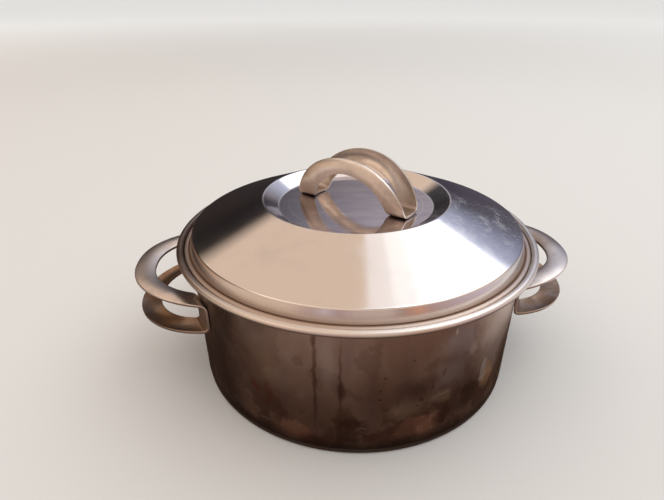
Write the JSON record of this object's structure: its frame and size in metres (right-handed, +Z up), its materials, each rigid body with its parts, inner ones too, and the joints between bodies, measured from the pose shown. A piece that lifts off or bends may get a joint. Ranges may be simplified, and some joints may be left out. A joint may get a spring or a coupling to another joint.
{
  "type": "casserole",
  "caption": "Round stainless steel cooking pot with a conical steel lid and handles made from folded oval rings.",
  "frame": {"origin": "centre of the base, on the surface the pot stands on", "axes": "+X from the centre towards the right side handle, +Z up along the pot's axis"},
  "size_m": [0.3248, 0.259, 0.1608],
  "materials": {
    "pot_steel": "satin, heat stained",
    "base_aluminium": "raw",
    "base_steel": "satin, heat stained",
    "handle_steel": "satin",
    "weld_steel": "dull",
    "lid_steel": "polished",
    "lid_handle_steel": "satin"
  },
  "bodies": {
    "pot": {"pot_shell": "pot_steel", "base_disc": "base_aluminium", "base_cap": "base_steel", "left_handle": "handle_steel", "left_handle_welds": "weld_steel", "right_handle": "handle_steel", "right_handle_welds": "weld_steel"},
    "lid": {"lid_shell": "lid_steel", "lid_handle": "lid_handle_steel", "lid_handle_welds": "weld_steel"}
  },
  "joints": [
    {"name": "lid_lift", "type": "slide", "parent": "pot", "child": "lid", "axis": [0, 0, 1], "range_m": [0, 0.12]}
  ]
}
